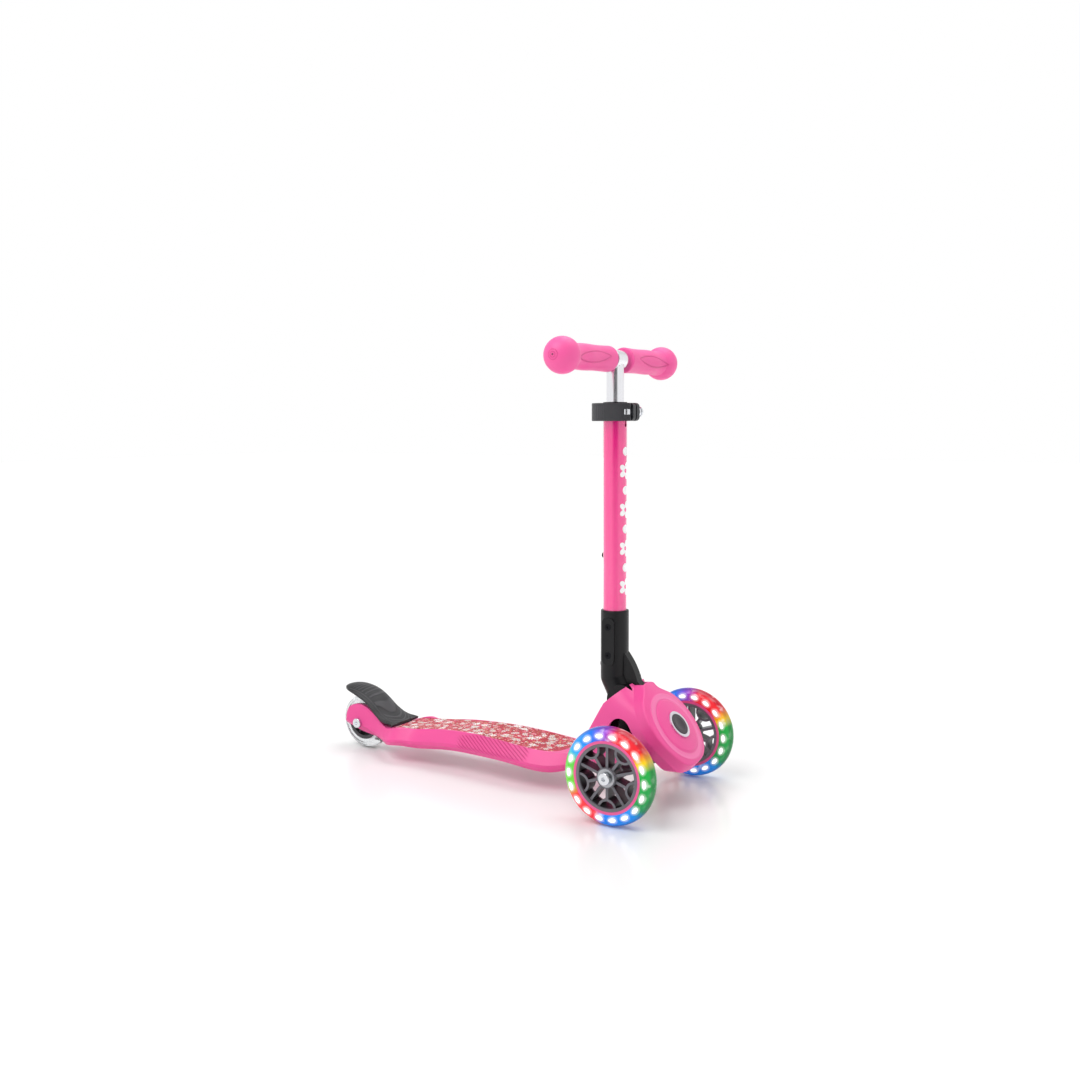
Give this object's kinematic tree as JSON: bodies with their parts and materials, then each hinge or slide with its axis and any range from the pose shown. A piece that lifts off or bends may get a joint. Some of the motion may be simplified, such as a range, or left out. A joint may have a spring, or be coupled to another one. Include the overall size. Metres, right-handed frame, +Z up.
{
  "type": "kick scooter",
  "caption": "Child's folding kick scooter with lean steering, lit front wheels, a printed cambered deck, a rear foot brake and a height-adjustable T-bar.",
  "frame": {"origin": "on the floor, under the middle of the scooter's overall length and width", "axes": "+X forward, +Y to the rider's left, +Z up"},
  "size_m": [0.5717, 0.304, 0.577],
  "materials": {
    "pink_plastic": "satin moulded",
    "printed_sheet": "printed flower pattern, fine grain",
    "steel": "brushed",
    "silver": "satin",
    "black_plastic": "satin",
    "rubber": "matt",
    "chrome": "polished",
    "dark_button": "fine grain",
    "grey_plastic": "satin",
    "clear_tyre": "clear cast polyurethane",
    "fender_plastic": "ribbed satin",
    "black_steel": "black oxide",
    "pink_anodised": "anodised gloss",
    "grey_clamp": "fine grain",
    "bright_aluminium": "polished",
    "pink_rubber": "soft satin",
    "pink_band": "gloss",
    "lamp": "lit diffuser"
  },
  "bodies": {
    "frame": {"deck": "pink_plastic", "deck_sheet": "printed_sheet", "deck_screws": "steel", "pod_shell": "pink_plastic", "lock_bezel": "silver", "steering_bracket": "black_plastic", "kingpin": "steel", "torsion_bush": "rubber", "fold_pin": "steel", "brake_pin": "steel", "rear_bolt": "chrome", "rear_nut": "chrome", "rear_spacers": "steel"},
    "lock_button": {"lock_button": "dark_button"},
    "truck": {"axle_beam": "black_plastic", "left_wheel_bolt": "chrome", "right_wheel_bolt": "chrome"},
    "left_wheel": {"left_wheel_hub": "grey_plastic", "left_wheel_band": "pink_band", "left_wheel_tyre": "clear_tyre", "left_wheel_lamps": "lamp", "left_wheel_bearings": "steel", "left_wheel_spacer": "steel"},
    "right_wheel": {"right_wheel_hub": "grey_plastic", "right_wheel_band": "pink_band", "right_wheel_tyre": "clear_tyre", "right_wheel_lamps": "lamp", "right_wheel_bearings": "steel", "right_wheel_spacer": "steel"},
    "rear_wheel": {"rear_hub": "grey_plastic", "rear_tyre": "clear_tyre", "rear_bearings": "steel", "rear_spacer": "steel"},
    "brake": {"brake_fender": "fender_plastic", "brake_pad": "steel"},
    "bar_lower": {"fold_bracket": "black_plastic", "bracket_screws": "black_steel", "outer_tube": "pink_anodised", "tube_bush": "black_plastic", "guide_pin": "black_steel", "clamp_collar": "grey_clamp", "clamp_bolt": "chrome", "clamp_nut": "chrome"},
    "fold_latch": {"fold_latch": "grey_clamp"},
    "clamp_lever": {"clamp_lever": "grey_clamp", "cam_pin": "chrome"},
    "bar_upper": {"stem": "bright_aluminium", "stem_guide": "black_plastic", "crossbar": "bright_aluminium", "left_grip": "pink_rubber", "right_grip": "pink_rubber"}
  },
  "joints": [
    {"name": "steer_lean", "type": "hinge", "parent": "frame", "child": "truck", "pos_m": [0.2605, 0, 0.101], "axis": [0.7986, 0, 0.6018], "range_deg": [-14, 14], "stiffness_Nm_per_rad": 60},
    {"name": "left_wheel_spin", "type": "hinge", "parent": "truck", "child": "left_wheel", "pos_m": [0.225, 0.1155, 0.06], "axis": [0, 1, 0], "continuous": true},
    {"name": "right_wheel_spin", "type": "hinge", "parent": "truck", "child": "right_wheel", "pos_m": [0.225, -0.1155, 0.06], "axis": [0, 1, 0], "continuous": true},
    {"name": "rear_wheel_spin", "type": "hinge", "parent": "frame", "child": "rear_wheel", "pos_m": [-0.245, 0, 0.04], "axis": [0, 1, 0], "continuous": true},
    {"name": "brake_press", "type": "hinge", "parent": "frame", "child": "brake", "pos_m": [-0.181, 0, 0.0405], "axis": [0, -1, 0], "range_deg": [0, 1.6], "stiffness_Nm_per_rad": 14, "springref_deg": -2.86},
    {"name": "bar_fold", "type": "hinge", "parent": "frame", "child": "bar_lower", "pos_m": [0.187, 0, 0.126], "axis": [0, -1, 0], "range_deg": [0, 85]},
    {"name": "fold_latch_push", "type": "slide", "parent": "bar_lower", "child": "fold_latch", "axis": [1, 0, 0], "range_m": [0, 0.0015], "stiffness_N_per_m": 900, "springref_m": -0.001},
    {"name": "clamp_lever_open", "type": "hinge", "parent": "bar_lower", "child": "clamp_lever", "pos_m": [0.1925, -0.015, 0.4898], "axis": [0, 0, 1], "range_deg": [0, 100]},
    {"name": "bar_height", "type": "slide", "parent": "bar_lower", "child": "bar_upper", "axis": [0, 0, 1], "range_m": [0, 0.13]},
    {"name": "steer_lock_push", "type": "slide", "parent": "frame", "child": "lock_button", "axis": [-0.7986, 0, -0.6018], "range_m": [0, 0.003]}
  ]
}
